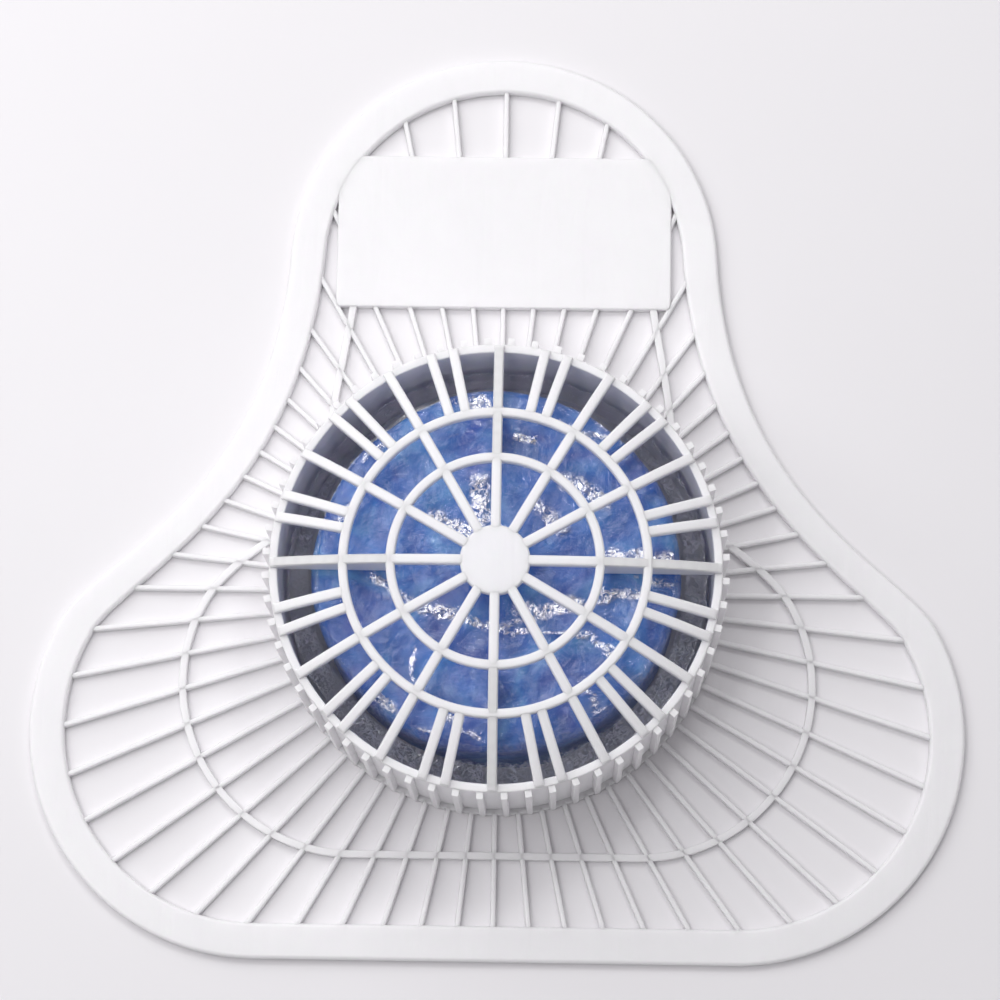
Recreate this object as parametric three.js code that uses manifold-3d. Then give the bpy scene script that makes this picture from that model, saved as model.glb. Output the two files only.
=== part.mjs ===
// Urinal deodorizer screen: a flat ribbed screen with a round cage in the middle, and a wrapped block
// in the cage. Millimetres, +Z up. The screen lies flat, its underside at z = 0. It is drawn round the
// cage's axis, and then moved so that the middle of its plan box is at the origin.
import * as THREE from 'three';
import { mergeVertices } from 'three/addons/utils/BufferGeometryUtils.js';
import Module from 'manifold-3d';

const wasm = await Module();
wasm.setup();

// Outline of the screen: a round dome at the top, a hollow neck on each side, two round lobes at the bottom
const TOP_REACH = 108.2;
const BOTTOM_REACH = 71.8;
const HALF_WIDTH = 90.7;
const DOME_RADIUS = 42.4;
const LOBE_RADIUS = 44.4;
const DOME_END_ANGLE = 3.3;
const LOBE_END_ANGLE = 28.3;
const NECK_PULL_AT_DOME = 51.0;
const NECK_PULL_AT_LOBE = 13.9;

// Rim
const RIM_WIDTH = 6.8;
const RIM_WIDTH_AT_NECK = 5.9;
const RIM_THICKNESS = 2.2;

// Ribs between the cage and the rim
const RIB_COUNT = 60;
const RIB_WIDTH = 1.1;
const RIB_HEIGHT = 1.8;

// Contour rib, which runs round between the cage and the rim
const CONTOUR_WIDTH = 1.5;
const CONTOUR_BOTTOM_REACH = 51.5;
const CONTOUR_HALF_WIDTH = 61.2;
const CONTOUR_LOBE_RADIUS = 33.5;
const CONTOUR_LOBE_END_ANGLE = 25;
const CONTOUR_LOWER_MEETING_ANGLE = 18;
const CONTOUR_LOWER_ARRIVAL_ANGLE = -36;
const CONTOUR_UPPER_MEETING_ANGLE = 37;
const CONTOUR_UPPER_LEAVING_ANGLE = 90;
const CONTOUR_PLATE_ARRIVAL_ANGLE = -82;
const CONTOUR_TOP_HALF_WIDTH = 29.7;
const CONTOUR_PULL_SHARE = 1 / 3;

// Bare label plate near the top
const PLATE_WIDTH = 66.4;
const PLATE_BOTTOM = 57.0;
const PLATE_TOP = 88.0;
const PLATE_THICKNESS = RIM_THICKNESS;

// Wall of the cage, with upright bars on its outside
const WALL_INNER_RADIUS = 40.9;
const WALL_THICKNESS = 1.6;
const WALL_OUTER_RADIUS = WALL_INNER_RADIUS + WALL_THICKNESS;
const WALL_HEIGHT = 32.0;
const BAR_WIDTH = 1.25;
const BAR_DEPTH = 1.35;
const BAR_TOP_STEP = 0.3;
const BASE_RING_WIDTH = 1.1;

// Domed top of the cage
const DOME_RISE = 7.2;
const DOME_POWER = 3;
const GRILLE_THICKNESS = 2.0;
const DOME_EDGE_STEP = GRILLE_THICKNESS / 3;
const HUB_RADIUS = 6.55;
const INNER_RING_RADIUS = 19.5;
const OUTER_RING_RADIUS = 28.4;
const GRILLE_RING_WIDTH = 1.7;
const SPOKE_COUNT = 12;
const SPOKE_WIDTH = 1.85;
const SPOKE_SETBACK = 0.2;
const STUB_WIDTH = 1.85;
const STUB_OFFSET_ANGLE = 12;
const WEB_COUNT = 4;
const WEB_WIDTH = 1.5;

// Deodorizer block and its film
const BLOCK_RADIUS = 35.0;
const BLOCK_HEIGHT = 28.4;
const BLOCK_EDGE_RADIUS = 1.8;
const FILM_THICKNESS = 0.3;
const FILM_FLANGE_HEIGHT = 1.4;
const CLEARANCE = 0.3;

// Fineness of the round shapes
const ROUND_STEPS = 60;
const TURNED_STEPS = 30;
const GRILLE_RING_STEPS = 36;
const OUTLINE_ARC_STEPS = 21;
const NECK_STEPS = 12;
const CONTOUR_STEPS = 4;
const SPOKE_STEPS = 3;
const SMALL_ARC_STEPS = 4;
const MERGE_DISTANCE = 1e-4;

// How far one part of the moulding reaches into the next, so that they join
const ROOT = 0.6;
const RIB_SHARE_OF_RIM = 0.5;

const radians = THREE.MathUtils.degToRad;

// Materials
const whitePlastic = { color: 0xf1f0f3, roughness: 0.42, metalness: 0 };
const sheetPlastic = new THREE.MeshStandardMaterial(whitePlastic);
const wallPlastic = new THREE.MeshStandardMaterial(whitePlastic);
const topPlastic = new THREE.MeshStandardMaterial(whitePlastic);
const blueCake = new THREE.MeshStandardMaterial({ color: 0x2c57b4, roughness: 0.6, metalness: 0 });
const clearFilm = new THREE.MeshStandardMaterial({ color: 0xdfe4ee, roughness: 0.12, metalness: 0 });

// A closed geometry as a solid that can be joined and cut
function toSolid(geometry) {
  const bare = geometry.clone();
  bare.deleteAttribute('normal');
  bare.deleteAttribute('uv');
  const merged = mergeVertices(bare, MERGE_DISTANCE);
  const vertProperties = new Float32Array(merged.attributes.position.array);
  const triVerts = new Uint32Array(merged.index.array);
  return new wasm.Manifold(new wasm.Mesh({ numProp: 3, vertProperties, triVerts }));
}

// A solid as a geometry
function toGeometry(solid) {
  const mesh = solid.getMesh();
  const geometry = new THREE.BufferGeometry();
  geometry.setAttribute('position', new THREE.BufferAttribute(mesh.vertProperties, 3));
  geometry.setIndex(new THREE.BufferAttribute(mesh.triVerts, 1));
  geometry.computeVertexNormals();
  return geometry;
}

function joined(solids) {
  return solids.reduce((whole, next) => whole.add(next));
}

// A flat shape, given by its corner points, raised from one height to another
function raised(points, low, high, holes = []) {
  const shape = new THREE.Shape(points);
  shape.holes = holes.map((hole) => new THREE.Path(hole));
  const geometry = new THREE.ExtrudeGeometry(shape, { depth: high - low, bevelEnabled: false });
  geometry.translate(0, 0, low);
  return toSolid(geometry);
}

function circlePoints(radius, steps = ROUND_STEPS) {
  const points = [];
  for (let i = 0; i < steps; i += 1) {
    const angle = (2 * Math.PI * i) / steps;
    points.push(new THREE.Vector2(radius * Math.cos(angle), radius * Math.sin(angle)));
  }
  return points;
}

function ring(innerRadius, outerRadius, low, high, steps = ROUND_STEPS) {
  return raised(circlePoints(outerRadius, steps), low, high, [circlePoints(innerRadius, steps)]);
}

// A plate that stands on edge along a radius: its side view (radius, height) made width thick
function uprightPlate(sideView, width, angle) {
  const shape = new THREE.Shape(sideView);
  const geometry = new THREE.ExtrudeGeometry(shape, { depth: width, bevelEnabled: false });
  geometry.translate(0, 0, -width / 2);
  geometry.rotateX(Math.PI / 2);
  geometry.rotateZ(angle);
  return toSolid(geometry);
}

// A strip of even width along a line of points
function strip(points, width, low, high) {
  const left = [];
  const right = [];
  points.forEach((point, i) => {
    const before = points[Math.max(i - 1, 0)];
    const after = points[Math.min(i + 1, points.length - 1)];
    const along = after.clone().sub(before).normalize();
    const across = new THREE.Vector2(-along.y, along.x).multiplyScalar(width / 2);
    left.push(point.clone().add(across));
    right.unshift(point.clone().sub(across));
  });
  return raised([...left, ...right].reverse(), low, high);
}

function arcPoints(centre, radius, fromAngle, toAngle, steps) {
  const points = [];
  for (let i = 0; i <= steps; i += 1) {
    const angle = radians(fromAngle + ((toAngle - fromAngle) * i) / steps);
    points.push(new THREE.Vector2(centre.x + radius * Math.cos(angle), centre.y + radius * Math.sin(angle)));
  }
  return points;
}

// A smooth curve between two points that leaves each one along its own direction
function easeBetween(start, startAngle, startPull, end, endAngle, endPull, steps) {
  const startWay = new THREE.Vector2(Math.cos(radians(startAngle)), Math.sin(radians(startAngle)));
  const endWay = new THREE.Vector2(Math.cos(radians(endAngle)), Math.sin(radians(endAngle)));
  const curve = new THREE.CubicBezierCurve(
    start,
    startWay.multiplyScalar(startPull).add(start),
    endWay.multiplyScalar(endPull).add(end),
    end,
  );
  return curve.getPoints(steps);
}

function mirrored(points) {
  return points.map((point) => new THREE.Vector2(-point.x, point.y)).reverse();
}

// Half of the outline, from the middle of the bottom round to the top, each point with the rim's width there
function halfOutline() {
  const lobeCentre = new THREE.Vector2(HALF_WIDTH - LOBE_RADIUS, LOBE_RADIUS - BOTTOM_REACH);
  const domeCentre = new THREE.Vector2(0, TOP_REACH - DOME_RADIUS);
  const lobe = arcPoints(lobeCentre, LOBE_RADIUS, -90, LOBE_END_ANGLE, OUTLINE_ARC_STEPS);
  const dome = arcPoints(domeCentre, DOME_RADIUS, DOME_END_ANGLE, 90, OUTLINE_ARC_STEPS);
  const lobeEnd = lobe[lobe.length - 1];
  const domeStart = dome[0];
  const neck = easeBetween(
    lobeEnd, LOBE_END_ANGLE + 90, NECK_PULL_AT_LOBE,
    domeStart, DOME_END_ANGLE - 90, NECK_PULL_AT_DOME, NECK_STEPS,
  );
  const rows = lobe.map((point) => ({ point, width: RIM_WIDTH }));
  neck.slice(1, -1).forEach((point, i) => {
    const share = Math.sin((Math.PI * (i + 1)) / NECK_STEPS);
    rows.push({ point, width: RIM_WIDTH + (RIM_WIDTH_AT_NECK - RIM_WIDTH) * share });
  });
  dome.forEach((point) => rows.push({ point, width: RIM_WIDTH }));
  return rows;
}

// The whole outline, moved inwards by a share of the rim's width
function outline(share) {
  const half = halfOutline();
  const acrossFrom = ({ point }) => new THREE.Vector2(-point.x, point.y);
  const inset = half.map(({ point, width }, i) => {
    const before = i === 0 ? acrossFrom(half[0]) : half[i - 1].point;
    const after = i === half.length - 1 ? acrossFrom(half[i - 1]) : half[i + 1].point;
    const along = after.clone().sub(before).normalize();
    const inwards = new THREE.Vector2(-along.y, along.x);
    return inwards.multiplyScalar(width * share).add(point);
  });
  inset[inset.length - 1].x = 0;
  return [...inset, ...mirrored(inset).slice(1)];
}

function makeRim() {
  return raised(outline(0), 0, RIM_THICKNESS, [outline(1)]);
}

// Straight ribs on the same centre as the cage, cut off under the rim
function makeRibs() {
  const farEnd = TOP_REACH + HALF_WIDTH;
  const sideView = [
    new THREE.Vector2(WALL_OUTER_RADIUS - ROOT, 0),
    new THREE.Vector2(farEnd, 0),
    new THREE.Vector2(farEnd, RIB_HEIGHT),
    new THREE.Vector2(WALL_OUTER_RADIUS - ROOT, RIB_HEIGHT),
  ];
  const ribs = [];
  for (let i = 0; i < RIB_COUNT; i += 1) {
    ribs.push(uprightPlate(sideView, RIB_WIDTH, Math.PI / 2 + (2 * Math.PI * i) / RIB_COUNT));
  }
  const reach = raised(outline(RIB_SHARE_OF_RIM), -ROOT, RIM_THICKNESS);
  return joined(ribs).intersect(reach);
}

// The contour rib's two lower ends and two upper ends meet the cage
function makeContourRib() {
  const onRing = (angle) => arcPoints(new THREE.Vector2(0, 0), WALL_OUTER_RADIUS, angle, angle, 1)[0];
  const lobeCentre = new THREE.Vector2(
    CONTOUR_HALF_WIDTH - CONTOUR_LOBE_RADIUS,
    CONTOUR_LOBE_RADIUS - CONTOUR_BOTTOM_REACH,
  );
  const lobe = arcPoints(lobeCentre, CONTOUR_LOBE_RADIUS, -90, CONTOUR_LOBE_END_ANGLE, OUTLINE_ARC_STEPS);
  const lobeEnd = lobe[lobe.length - 1];
  const lowerEnd = onRing(CONTOUR_LOWER_MEETING_ANGLE);
  const pull = lobeEnd.distanceTo(lowerEnd) * CONTOUR_PULL_SHARE;
  const shoulder = easeBetween(
    lobeEnd, CONTOUR_LOBE_END_ANGLE + 90, pull,
    lowerEnd, CONTOUR_LOWER_ARRIVAL_ANGLE, pull, CONTOUR_STEPS,
  );
  const lowerHalf = [...lobe, ...shoulder.slice(1)];
  const lower = [...mirrored(lowerHalf), ...lowerHalf];
  const upperEnd = onRing(CONTOUR_UPPER_MEETING_ANGLE);
  const plateEnd = new THREE.Vector2(CONTOUR_TOP_HALF_WIDTH, PLATE_BOTTOM + ROOT);
  const upperPull = upperEnd.distanceTo(plateEnd) * CONTOUR_PULL_SHARE;
  const upper = easeBetween(
    upperEnd, CONTOUR_UPPER_LEAVING_ANGLE, upperPull,
    plateEnd, CONTOUR_PLATE_ARRIVAL_ANGLE, upperPull, CONTOUR_STEPS,
  );
  const strips = [lower, upper, mirrored(upper)].map((line) => strip(line, CONTOUR_WIDTH, 0, RIB_HEIGHT));
  return joined(strips);
}

function makePlate() {
  const half = PLATE_WIDTH / 2;
  const corners = [
    new THREE.Vector2(-half, PLATE_BOTTOM),
    new THREE.Vector2(half, PLATE_BOTTOM),
    new THREE.Vector2(half, PLATE_TOP),
    new THREE.Vector2(-half, PLATE_TOP),
  ];
  return raised(corners, 0, PLATE_THICKNESS);
}

// The cage's wall, its base ring, and the upright bars halfway between the ribs
function makeWall() {
  const wall = ring(WALL_INNER_RADIUS, WALL_OUTER_RADIUS, 0, WALL_HEIGHT);
  const baseRing = ring(WALL_OUTER_RADIUS - ROOT, WALL_OUTER_RADIUS + BASE_RING_WIDTH, 0, RIB_HEIGHT);
  const barTop = WALL_HEIGHT - BAR_TOP_STEP;
  const sideView = [
    new THREE.Vector2(WALL_OUTER_RADIUS - ROOT, 0),
    new THREE.Vector2(WALL_OUTER_RADIUS + BAR_DEPTH, 0),
    new THREE.Vector2(WALL_OUTER_RADIUS + BAR_DEPTH, barTop),
    new THREE.Vector2(WALL_OUTER_RADIUS - ROOT, barTop),
  ];
  const bars = [];
  for (let i = 0; i < RIB_COUNT; i += 1) {
    bars.push(uprightPlate(sideView, BAR_WIDTH, Math.PI / 2 + (2 * Math.PI * (i + 0.5)) / RIB_COUNT));
  }
  return joined([wall, baseRing, ...bars]);
}

// Height of the domed top at a distance from the axis
function domeHeight(radius) {
  const share = radius / WALL_OUTER_RADIUS;
  return WALL_HEIGHT + DOME_RISE - (DOME_RISE - DOME_EDGE_STEP) * share ** DOME_POWER;
}

// Side view of a bar of the grille that follows the dome from one radius to another
function domeSideView(fromRadius, toRadius, depth) {
  const top = [];
  const bottom = [];
  for (let i = 0; i <= SPOKE_STEPS; i += 1) {
    const radius = fromRadius + ((toRadius - fromRadius) * i) / SPOKE_STEPS;
    top.unshift(new THREE.Vector2(radius, domeHeight(radius)));
    bottom.push(new THREE.Vector2(radius, domeHeight(radius) - depth));
  }
  return [...bottom, ...top];
}

function grilleRing(radius) {
  const top = domeHeight(radius);
  const inner = radius - GRILLE_RING_WIDTH / 2;
  const outer = radius + GRILLE_RING_WIDTH / 2;
  return ring(inner, outer, top - GRILLE_THICKNESS, top, GRILLE_RING_STEPS);
}

// The domed grille: hub, two rings, long spokes and pairs of short stubs
function makeGrille() {
  const spokeEnd = WALL_OUTER_RADIUS - SPOKE_SETBACK;
  const spokeView = domeSideView(HUB_RADIUS - ROOT, spokeEnd, GRILLE_THICKNESS);
  const stubView = domeSideView(OUTER_RING_RADIUS, spokeEnd, GRILLE_THICKNESS);
  const hubTop = domeHeight(0);
  const solids = [
    raised(circlePoints(HUB_RADIUS, GRILLE_RING_STEPS), hubTop - GRILLE_THICKNESS, hubTop),
    grilleRing(INNER_RING_RADIUS),
    grilleRing(OUTER_RING_RADIUS),
  ];
  const pitch = 360 / SPOKE_COUNT;
  for (let i = 0; i < SPOKE_COUNT; i += 1) {
    const angle = 90 + i * pitch;
    solids.push(uprightPlate(spokeView, SPOKE_WIDTH, radians(angle)));
    solids.push(uprightPlate(stubView, STUB_WIDTH, radians(angle + STUB_OFFSET_ANGLE)));
    solids.push(uprightPlate(stubView, STUB_WIDTH, radians(angle + pitch - STUB_OFFSET_ANGLE)));
  }
  return joined(solids);
}

// Plates under the four main spokes, which reach down to just above the wrapped block
function makeWebs() {
  const low = BLOCK_HEIGHT + FILM_THICKNESS + 2 * CLEARANCE;
  const wallRoot = WALL_INNER_RADIUS + ROOT;
  const sideView = domeSideView(INNER_RING_RADIUS, wallRoot, GRILLE_THICKNESS / 2).slice(SPOKE_STEPS + 1);
  const corners = [new THREE.Vector2(INNER_RING_RADIUS, low), new THREE.Vector2(wallRoot, low)];
  const lowered = sideView.map((point) => new THREE.Vector2(point.x, point.y - GRILLE_THICKNESS / 2));
  const webs = [];
  for (let i = 0; i < WEB_COUNT; i += 1) {
    webs.push(uprightPlate([...corners, ...lowered], WEB_WIDTH, (2 * Math.PI * i) / WEB_COUNT));
  }
  return joined(webs);
}

// The largest of the bodies that a cut leaves, without the slivers beside it
function largestOf(solid) {
  return solid.decompose().reduce((best, next) => (next.volume() > best.volume() ? next : best));
}

// The flat sheet, which ends where it meets the cage. What cuts it passes both of its faces.
function makeSheet(wall) {
  const inside = raised(circlePoints(WALL_OUTER_RADIUS), -ROOT, PLATE_THICKNESS + ROOT);
  const cutter = joined([inside, wall, wall.translate([0, 0, ROOT]), wall.translate([0, 0, -ROOT])]);
  const whole = joined([makeRim(), makeRibs(), makeContourRib(), makePlate()]);
  return largestOf(whole.subtract(cutter));
}

// The domed top with its webs, which rests on the wall and fits inside it
function makeCageTop(wall) {
  return joined([makeGrille(), makeWebs()]).subtract(wall);
}

// A round body from its side view, which starts and ends on the axis
function turned(sideView) {
  const geometry = new THREE.LatheGeometry(sideView, TURNED_STEPS);
  geometry.rotateX(Math.PI / 2);
  return toGeometry(toSolid(geometry));
}

function roundedCorner(radius, height, edge) {
  return arcPoints(new THREE.Vector2(radius - edge, height - edge), edge, 0, 90, SMALL_ARC_STEPS);
}

function makeBlock() {
  const footCentre = new THREE.Vector2(BLOCK_RADIUS - BLOCK_EDGE_RADIUS, BLOCK_EDGE_RADIUS);
  const foot = arcPoints(footCentre, BLOCK_EDGE_RADIUS, -90, 0, SMALL_ARC_STEPS);
  const head = roundedCorner(BLOCK_RADIUS, BLOCK_HEIGHT, BLOCK_EDGE_RADIUS);
  return turned([new THREE.Vector2(0, 0), ...foot, ...head, new THREE.Vector2(0, BLOCK_HEIGHT)]);
}

// The film over the block: a thin cap with a loose flange near its foot
function makeFilm() {
  const inner = BLOCK_RADIUS + CLEARANCE;
  const outer = inner + FILM_THICKNESS;
  const under = BLOCK_HEIGHT + CLEARANCE;
  const over = under + FILM_THICKNESS;
  const flangeEnd = WALL_INNER_RADIUS - CLEARANCE;
  const flangeLow = FILM_FLANGE_HEIGHT - FILM_THICKNESS;
  const inside = roundedCorner(inner, under, BLOCK_EDGE_RADIUS + CLEARANCE).reverse();
  const outside = roundedCorner(outer, over, BLOCK_EDGE_RADIUS + CLEARANCE + FILM_THICKNESS);
  return turned([
    new THREE.Vector2(0, under),
    ...inside,
    new THREE.Vector2(inner, flangeLow),
    new THREE.Vector2(flangeEnd, flangeLow),
    new THREE.Vector2(flangeEnd, FILM_FLANGE_HEIGHT),
    new THREE.Vector2(outer, FILM_FLANGE_HEIGHT),
    ...outside,
    new THREE.Vector2(0, over),
  ]);
}

function named(name, geometry, material) {
  const mesh = new THREE.Mesh(geometry, material);
  mesh.name = name;
  return mesh;
}

const cageWall = makeWall();
const deodorizerScreen = new THREE.Group();
deodorizerScreen.position.y = (BOTTOM_REACH - TOP_REACH) / 2;
deodorizerScreen.add(named('screen', toGeometry(makeSheet(cageWall)), sheetPlastic));
deodorizerScreen.add(named('cage_wall', toGeometry(cageWall), wallPlastic));
deodorizerScreen.add(named('cage_top', toGeometry(makeCageTop(cageWall)), topPlastic));
deodorizerScreen.add(named('deodorizer_block', makeBlock(), blueCake));
deodorizerScreen.add(named('film_wrapper', makeFilm(), clearFilm));

export default deodorizerScreen;
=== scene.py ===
# %% [markdown]
# # A urinal deodorizer screen, in Blender
# The real thing is one white moulding: a flat rim, thin ribs, a bare label plate and a round cage. A blue
# deodorizer cake stands in the cage, in clear crinkled film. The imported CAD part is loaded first. It gives
# the place and size of every solid, and each piece made here stands exactly where its solid is.

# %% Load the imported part
import math

import bmesh
import bpy
from mathutils import Euler, Matrix, Vector, noise


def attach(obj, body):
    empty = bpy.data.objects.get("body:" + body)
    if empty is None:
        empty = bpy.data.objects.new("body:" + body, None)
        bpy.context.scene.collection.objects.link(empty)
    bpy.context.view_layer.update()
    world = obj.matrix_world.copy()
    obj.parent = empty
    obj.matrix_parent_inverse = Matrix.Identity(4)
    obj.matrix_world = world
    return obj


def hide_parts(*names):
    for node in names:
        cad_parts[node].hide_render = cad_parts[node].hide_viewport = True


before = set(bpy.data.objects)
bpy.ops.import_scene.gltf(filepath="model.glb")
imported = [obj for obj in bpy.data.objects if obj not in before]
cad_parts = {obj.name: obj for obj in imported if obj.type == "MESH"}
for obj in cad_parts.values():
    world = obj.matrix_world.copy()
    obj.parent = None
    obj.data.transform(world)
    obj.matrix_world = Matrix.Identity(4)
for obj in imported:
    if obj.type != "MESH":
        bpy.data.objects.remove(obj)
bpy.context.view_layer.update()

print("CAD nodes", sorted(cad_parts))

# %% [markdown]
# ## Sizes
# All sizes are in millimetres and are counted from the cage's axis, because the ribs, the wall and the grille
# are all round that axis. One matrix then turns millimetres into metres and puts the axis in its place.

# %% Sizes of the moulding
TOP_REACH = 108.2
BOTTOM_REACH = 71.8
HALF_WIDTH = 90.7
DOME_RADIUS = 42.4
LOBE_RADIUS = 44.4
DOME_END_ANGLE = 3.3
LOBE_END_ANGLE = 28.3
NECK_PULL_AT_DOME = 51.0
NECK_PULL_AT_LOBE = 13.9
RIM_WIDTH = 6.8
RIM_WIDTH_AT_NECK = 5.9
RIM_THICKNESS = 2.2
RIB_COUNT = 60
RIB_WIDTH = 1.1
RIB_HEIGHT = 1.8
PLATE_WIDTH = 66.4
PLATE_BOTTOM = 57.0
PLATE_TOP = 88.0
PLATE_THICKNESS = 2.18
WALL_INNER_RADIUS = 40.9
WALL_OUTER_RADIUS = 42.5
WALL_HEIGHT = 32.0
BAR_WIDTH = 1.25
BAR_DEPTH = 1.35
BAR_TOP = 31.7
BASE_RING_WIDTH = 1.1
DOME_RISE = 7.2
DOME_EDGE_STEP = 2.0 / 3
DOME_POWER = 3
GRILLE_THICKNESS = 2.0
HUB_RADIUS = 6.55
INNER_RING_RADIUS = 19.5
OUTER_RING_RADIUS = 28.4
GRILLE_RING_WIDTH = 1.7
SPOKE_COUNT = 12
SPOKE_WIDTH = 1.85
STUB_OFFSET_ANGLE = 12
WEB_COUNT = 4
WEB_WIDTH = 1.5
WEB_LOW = 29.3
BLOCK_RADIUS = 35.0
BLOCK_HEIGHT = 28.4
FILM_TOP = 28.95
ROOT = 0.6

# %% Softness of the edges and fineness of the curves
RIM_EDGE = 0.75
RIM_FOOT_EDGE = 0.35
RIB_EDGE = 0.28
PLATE_CORNER = 0.9
PLATE_EDGE = 0.35
WALL_EDGE = 0.3
BAR_EDGE = 0.25
GRILLE_EDGE = 0.45
WEB_EDGE = 0.1
HUB_EDGE = 0.5
HUB_CROWN = 0.1
SPOKE_SETBACK = 0.2
SHARP_ANGLE = 50
SMOOTH_ANGLE = 40
LOBE_STEPS = 40
DOME_STEPS = 36
NECK_STEPS = 40
HUB_STEPS = 96

MM = 0.001
CAGE_Y = (BOTTOM_REACH - TOP_REACH) / 2
TO_PART = Matrix.Translation((0, CAGE_Y * MM, 0)) @ Matrix.Scale(MM, 4)
print("cage axis at y =", round(CAGE_Y, 2), "mm")

# %% [markdown]
# ## Camera
# The photograph looks nearly straight down from about 0.7 m, a little from the bottom end, so the top of the
# tall cage is shifted towards the top of the picture. A long lens at that height gives the same shift.

# %% Camera
CAMERA_PLACE = (0.01321, -0.13049, 0.68490)
CAMERA_TILT, CAMERA_PAN, CAMERA_ROLL = 10.821, 1.087, 0.762
LENS = 127.6

camera_data = bpy.data.cameras.new("camera")
camera_data.lens = LENS
camera_data.sensor_width = 36
camera_data.sensor_fit = "HORIZONTAL"
camera = bpy.data.objects.new("camera", camera_data)
camera.rotation_mode = "ZYX"
camera.location = CAMERA_PLACE
camera.rotation_euler = Euler([math.radians(a) for a in (CAMERA_TILT, CAMERA_PAN, CAMERA_ROLL)], "ZYX")
bpy.context.scene.collection.objects.link(camera)
bpy.context.scene.camera = camera
bpy.context.scene.view_settings.view_transform = "Standard"

# %% [markdown]
# ## Light
# A large soft box close by at the upper left gives the bright side and the fall towards the lower right. The
# world fills the shadows. Two small boxes are there for the crinkled film, which shows them as short bright
# lines. The lamps themselves are hidden from the camera.

# %% Lamps and world
def soft_box(name, place, aim, size, power, colour):
    lamp_data = bpy.data.lights.new(name, "AREA")
    lamp_data.shape = "SQUARE"
    lamp_data.size = size
    lamp_data.energy = power
    lamp_data.color = colour
    lamp = bpy.data.objects.new(name, lamp_data)
    lamp.location = place
    way = Vector(aim) - Vector(place)
    lamp.rotation_mode = "QUATERNION"
    lamp.rotation_quaternion = way.to_track_quat("-Z", "Y")
    lamp.visible_camera = False
    bpy.context.scene.collection.objects.link(lamp)

soft_box("window", (-0.34, 0.32, 0.56), (-0.14, 0.14, 0), 0.90, 5.0, (1.0, 0.99, 1.0))
soft_box("far highlight", (0.22, 0.50, 0.95), (0, 0, 0.03), 0.13, 1.1, (1.0, 1.0, 1.0))
soft_box("near highlight", (-0.30, -0.20, 0.95), (0, 0, 0.03), 0.11, 0.7, (1.0, 1.0, 1.0))

WORLD_COLOUR = (0.985, 0.965, 1.0, 1)
FILL_STRENGTH = 0.36
SEEN_COLOUR = (0.87, 0.86, 0.89, 1)

world = bpy.data.worlds.new("room")
bpy.context.scene.world = world
world.use_nodes = True
sky = world.node_tree
sky.nodes.clear()
room_light = sky.nodes.new("ShaderNodeBackground")
room_light.inputs["Color"].default_value = WORLD_COLOUR
room_light.inputs["Strength"].default_value = FILL_STRENGTH
room_seen = sky.nodes.new("ShaderNodeBackground")
room_seen.inputs["Color"].default_value = SEEN_COLOUR
ray = sky.nodes.new("ShaderNodeLightPath")
choose = sky.nodes.new("ShaderNodeMixShader")
sky.links.new(ray.outputs["Is Camera Ray"], choose.inputs["Fac"])
sky.links.new(room_light.outputs["Background"], choose.inputs[1])
sky.links.new(room_seen.outputs["Background"], choose.inputs[2])
sky_out = sky.nodes.new("ShaderNodeOutputWorld")
sky.links.new(choose.outputs["Shader"], sky_out.inputs["Surface"])

# %% [markdown]
# ## Shared effects
# Moulded plastic, the pressed cake and the film all vary a little from place to place. Two small node groups
# make that variation, so each material only says how coarse and how strong it is. They read the object's own
# coordinates in metres, so a pattern stays on the surface from every side.

# %% Node groups
def new_group(name, inputs, outputs):
    group = bpy.data.node_groups.new(name, "ShaderNodeTree")
    for label, kind, value in inputs:
        socket = group.interface.new_socket(label, in_out="INPUT", socket_type=kind)
        if value is not None:
            socket.default_value = value
    for label, kind in outputs:
        group.interface.new_socket(label, in_out="OUTPUT", socket_type=kind)
    return group, group.nodes.new("NodeGroupInput"), group.nodes.new("NodeGroupOutput")

def make_cloud_group():
    inputs = [("Place", "NodeSocketVector", None), ("Scale", "NodeSocketFloat", 60.0),
              ("Swirl", "NodeSocketFloat", 0.4), ("Low", "NodeSocketFloat", 0.35),
              ("High", "NodeSocketFloat", 0.65)]
    group, start, end = new_group("cloudy tone", inputs, [("Tone", "NodeSocketFloat")])
    cloud = group.nodes.new("ShaderNodeTexNoise")
    cloud.inputs["Detail"].default_value = 5.0
    cloud.inputs["Roughness"].default_value = 0.55
    spread = group.nodes.new("ShaderNodeMapRange")
    link = group.links.new
    link(start.outputs["Place"], cloud.inputs["Vector"])
    link(start.outputs["Scale"], cloud.inputs["Scale"])
    link(start.outputs["Swirl"], cloud.inputs["Distortion"])
    link(cloud.outputs["Fac"], spread.inputs["Value"])
    link(start.outputs["Low"], spread.inputs["From Min"])
    link(start.outputs["High"], spread.inputs["From Max"])
    link(spread.outputs["Result"], end.inputs["Tone"])
    return group

def make_grain_group():
    inputs = [("Place", "NodeSocketVector", None), ("Grain Scale", "NodeSocketFloat", 3000.0),
              ("Pit Scale", "NodeSocketFloat", 900.0), ("Pit Share", "NodeSocketFloat", 0.5)]
    group, start, end = new_group("fine grain", inputs, [("Height", "NodeSocketFloat")])
    grain = group.nodes.new("ShaderNodeTexNoise")
    grain.inputs["Detail"].default_value = 3.0
    pits = group.nodes.new("ShaderNodeTexVoronoi")
    blend = group.nodes.new("ShaderNodeMix")
    link = group.links.new
    link(start.outputs["Place"], grain.inputs["Vector"])
    link(start.outputs["Grain Scale"], grain.inputs["Scale"])
    link(start.outputs["Place"], pits.inputs["Vector"])
    link(start.outputs["Pit Scale"], pits.inputs["Scale"])
    link(start.outputs["Pit Share"], blend.inputs["Factor"])
    link(grain.outputs["Fac"], blend.inputs["A"])
    link(pits.outputs["Distance"], blend.inputs["B"])
    link(blend.outputs["Result"], end.inputs["Height"])
    return group

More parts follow.
